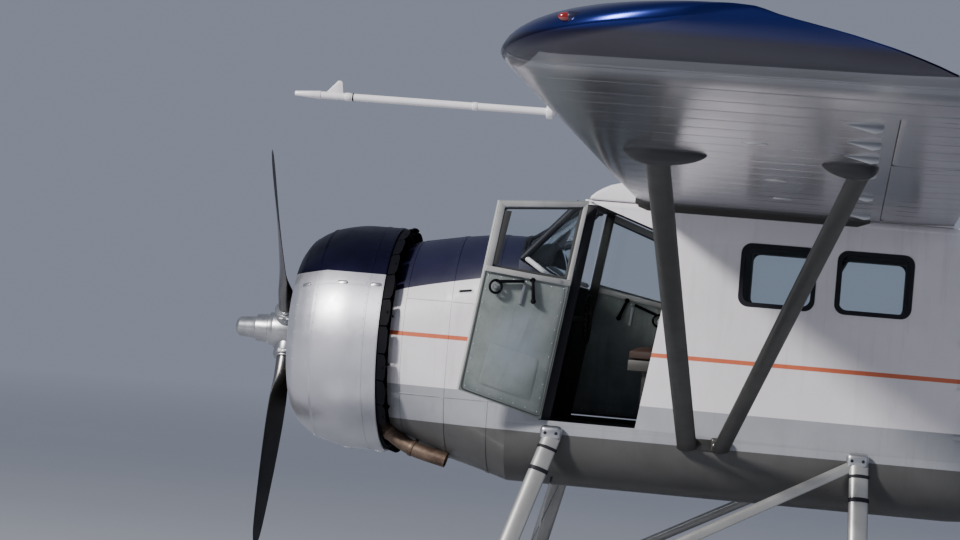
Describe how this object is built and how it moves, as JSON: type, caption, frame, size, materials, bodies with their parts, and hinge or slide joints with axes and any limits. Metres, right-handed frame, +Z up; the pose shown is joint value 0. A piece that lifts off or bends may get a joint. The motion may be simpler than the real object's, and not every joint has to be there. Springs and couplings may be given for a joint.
{
  "type": "high-wing floatplane",
  "caption": "High-wing floatplane with a ring-cowled radial engine, strut-braced wing, cabin with hinged doors and two floats on struts.",
  "frame": {"origin": "centre of the overall box on the ground plane under the float keels", "axes": "-X ahead towards the propeller, +Y to starboard, +Z up"},
  "size_m": [10.35, 15.694, 4.41],
  "materials": {
    "white_paint": "satin",
    "silver_dope": "satin",
    "aluminium": "brushed",
    "dark_metal": "satin",
    "interior": "matte",
    "seat_cover": "satin",
    "clear_panes": "clear",
    "rubber": "matte"
  },
  "bodies": {
    "airframe": {"fuselage_nose": "white_paint", "cabin_side_left": "white_paint", "cabin_side_right": "white_paint", "cabin_roof": "white_paint", "wing_centre_fairing": "white_paint", "tail_cone": "white_paint", "fin": "white_paint", "windshield_frame": "white_paint", "wing_left": "silver_dope", "wing_right": "silver_dope", "tailplane": "silver_dope", "cowl": "aluminium", "cabin_belly": "aluminium", "float_left": "aluminium", "float_right": "aluminium", "float_struts_left": "aluminium", "float_struts_right": "aluminium", "float_spreader_front": "aluminium", "float_spreader_rear": "aluminium", "wing_struts_left": "aluminium", "wing_struts_right": "aluminium", "pitot_boom": "aluminium", "engine": "dark_metal", "cowl_flaps": "dark_metal", "exhaust_pipe": "dark_metal", "instrument_panel": "interior", "seat_left": "seat_cover", "seat_right": "seat_cover", "cabin_bench": "seat_cover", "windshield_glass": "clear_panes", "side_glass_left": "clear_panes", "side_glass_right": "clear_panes", "float_bumper_left": "rubber", "float_bumper_right": "rubber"},
    "propeller": {"propeller": "dark_metal"},
    "cockpit_door_left": {"cockpit_door_left": "white_paint", "cockpit_door_left_glass": "clear_panes"},
    "cockpit_door_right": {"cockpit_door_right": "white_paint", "cockpit_door_right_glass": "clear_panes"},
    "cabin_door_left": {"cabin_door_left": "white_paint", "cabin_door_left_glass": "clear_panes"},
    "cabin_door_right": {"cabin_door_right": "white_paint", "cabin_door_right_glass": "clear_panes"},
    "flap_left": {"flap_left": "silver_dope"},
    "flap_right": {"flap_right": "silver_dope"},
    "aileron_left": {"aileron_left": "silver_dope"},
    "aileron_right": {"aileron_right": "silver_dope"},
    "elevator": {"elevator": "silver_dope"},
    "rudder": {"rudder": "white_paint"},
    "water_rudder_left": {"water_rudder_left": "aluminium"},
    "water_rudder_right": {"water_rudder_right": "aluminium"}
  },
  "joints": [
    {"name": "propeller_spin", "type": "hinge", "parent": "airframe", "child": "propeller", "pos_m": [-4.467, 0, 2.55], "axis": [1, 0, 0], "continuous": true},
    {"name": "cockpit_door_left_hinge", "type": "hinge", "parent": "airframe", "child": "cockpit_door_left", "pos_m": [-2.664, -0.691, 2.14], "axis": [0.1359, 0, 0.9907], "range_deg": [-5, 150]},
    {"name": "cabin_door_left_hinge", "type": "hinge", "parent": "airframe", "child": "cabin_door_left", "pos_m": [0.001, -0.691, 2.15], "axis": [0, 0, 1], "range_deg": [-110, 0]},
    {"name": "cockpit_door_right_hinge", "type": "hinge", "parent": "airframe", "child": "cockpit_door_right", "pos_m": [-2.664, 0.691, 2.14], "axis": [0.1359, 0, 0.9907], "range_deg": [0, 155]},
    {"name": "cabin_door_right_hinge", "type": "hinge", "parent": "airframe", "child": "cabin_door_right", "pos_m": [0.001, 0.691, 2.15], "axis": [0, 0, 1], "range_deg": [0, 110]},
    {"name": "flap_left_hinge", "type": "hinge", "parent": "airframe", "child": "flap_left", "pos_m": [-0.615, -0.8, 3.6111], "axis": [0, 0.9997, -0.0262], "range_deg": [0, 35]},
    {"name": "aileron_left_hinge", "type": "hinge", "parent": "airframe", "child": "aileron_left", "pos_m": [-0.615, -4.42, 3.7059], "axis": [0, 0.9997, -0.0262], "range_deg": [-22, 22]},
    {"name": "flap_right_hinge", "type": "hinge", "parent": "airframe", "child": "flap_right", "pos_m": [-0.615, 0.8, 3.6111], "axis": [0, 0.9997, 0.0262], "range_deg": [0, 35]},
    {"name": "aileron_right_hinge", "type": "hinge", "parent": "airframe", "child": "aileron_right", "pos_m": [-0.615, 4.42, 3.7059], "axis": [0, 0.9997, 0.0262], "range_deg": [-22, 22]},
    {"name": "elevator_hinge", "type": "hinge", "parent": "airframe", "child": "elevator", "pos_m": [4.395, 0, 2.945], "axis": [0, 1, 0], "range_deg": [-28, 20]},
    {"name": "rudder_hinge", "type": "hinge", "parent": "airframe", "child": "rudder", "pos_m": [4.585, 0, 2.55], "axis": [0, 0, 1], "range_deg": [-25, 25]},
    {"name": "water_rudder_left_hinge", "type": "hinge", "parent": "airframe", "child": "water_rudder_left", "pos_m": [2.18, -1.35, 0.56], "axis": [0, 0, 1], "range_deg": [-25, 25]},
    {"name": "water_rudder_right_hinge", "type": "hinge", "parent": "airframe", "child": "water_rudder_right", "pos_m": [2.18, 1.35, 0.56], "axis": [0, 0, 1], "range_deg": [-25, 25]}
  ],
  "couplings": [
    {"joint": "aileron_right_hinge", "follows": "aileron_left_hinge", "ratio": -1},
    {"joint": "flap_right_hinge", "follows": "flap_left_hinge", "ratio": 1},
    {"joint": "water_rudder_left_hinge", "follows": "rudder_hinge", "ratio": 1},
    {"joint": "water_rudder_right_hinge", "follows": "rudder_hinge", "ratio": 1}
  ]
}
